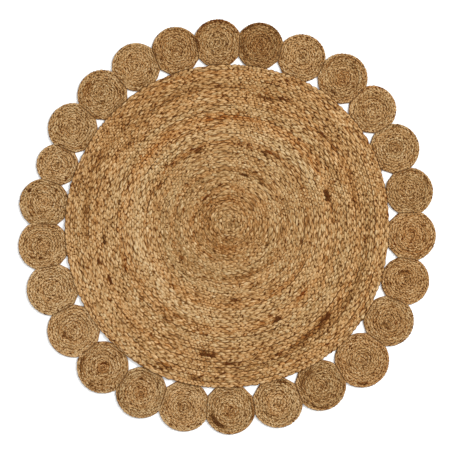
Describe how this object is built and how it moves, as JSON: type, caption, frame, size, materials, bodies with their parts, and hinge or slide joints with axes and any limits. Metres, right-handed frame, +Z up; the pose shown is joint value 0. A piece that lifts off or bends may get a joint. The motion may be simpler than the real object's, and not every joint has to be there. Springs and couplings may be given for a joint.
{
  "type": "round jute rug",
  "caption": "Flat round floor rug: a disc of spirally wound jute plait, edged by a ring of small coiled jute discs sewn to it and to each other.",
  "frame": {"origin": "on the floor, under the middle of the rug's bounding box", "axes": "+Z up out of the walked-on side, X and Y across the rug, with +Y the top of the rug as seen in the picture"},
  "size_m": [1.205, 1.198, 0.009],
  "materials": {
    "centre_jute": "golden brown jute plait, matt, with paler straw and reddish brown strands",
    "coil_jute": "fine jute plait, matt, slightly greyer brown, each coil with its own tone"
  },
  "bodies": {
    "root": {"centre_disc": "centre_jute", "rim_coil_01": "coil_jute", "rim_coil_02": "coil_jute", "rim_coil_03": "coil_jute", "rim_coil_04": "coil_jute", "rim_coil_05": "coil_jute", "rim_coil_06": "coil_jute", "rim_coil_07": "coil_jute", "rim_coil_08": "coil_jute", "rim_coil_09": "coil_jute", "rim_coil_10": "coil_jute", "rim_coil_11": "coil_jute", "rim_coil_12": "coil_jute", "rim_coil_13": "coil_jute", "rim_coil_14": "coil_jute", "rim_coil_15": "coil_jute", "rim_coil_16": "coil_jute", "rim_coil_17": "coil_jute", "rim_coil_18": "coil_jute", "rim_coil_19": "coil_jute", "rim_coil_20": "coil_jute", "rim_coil_21": "coil_jute", "rim_coil_22": "coil_jute", "rim_coil_23": "coil_jute", "rim_coil_24": "coil_jute", "rim_coil_25": "coil_jute", "rim_coil_26": "coil_jute"}
  },
  "joints": []
}
